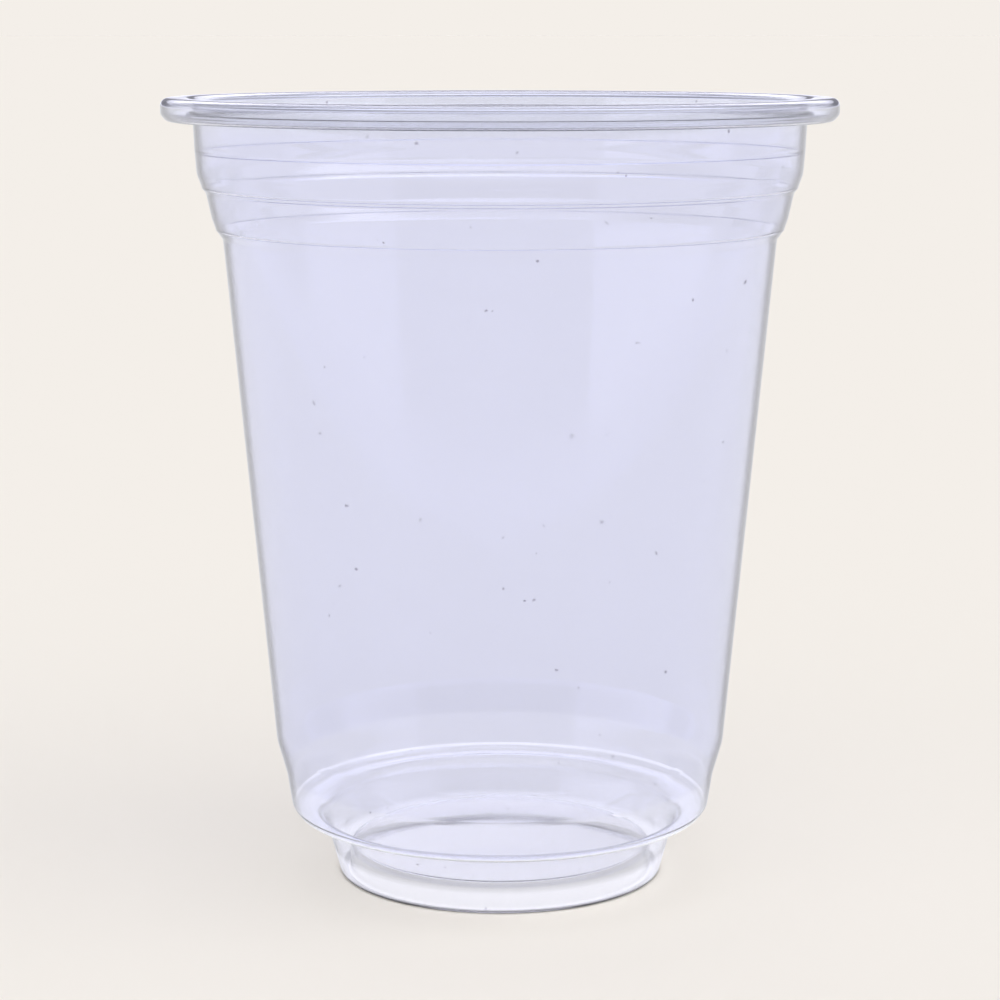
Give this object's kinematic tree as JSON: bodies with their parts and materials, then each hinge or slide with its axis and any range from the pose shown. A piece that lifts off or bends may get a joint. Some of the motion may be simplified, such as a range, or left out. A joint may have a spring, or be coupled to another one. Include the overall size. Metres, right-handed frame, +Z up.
{
  "type": "plastic disposable cup",
  "caption": "Clear plastic cold-drink cup with a curled rim, a stepped mouth, a tapered body and a narrower foot under a stacking ledge.",
  "frame": {"origin": "centre of the circle that the cup stands on", "axes": "+Z up along the cup's axis, towards its mouth; X and Y are any two across it"},
  "size_m": [0.098, 0.098, 0.1155],
  "materials": {
    "clear_plastic": "clear, glossy, with a faint lavender tint"
  },
  "bodies": {
    "root": {"cup": "clear_plastic"}
  },
  "joints": []
}
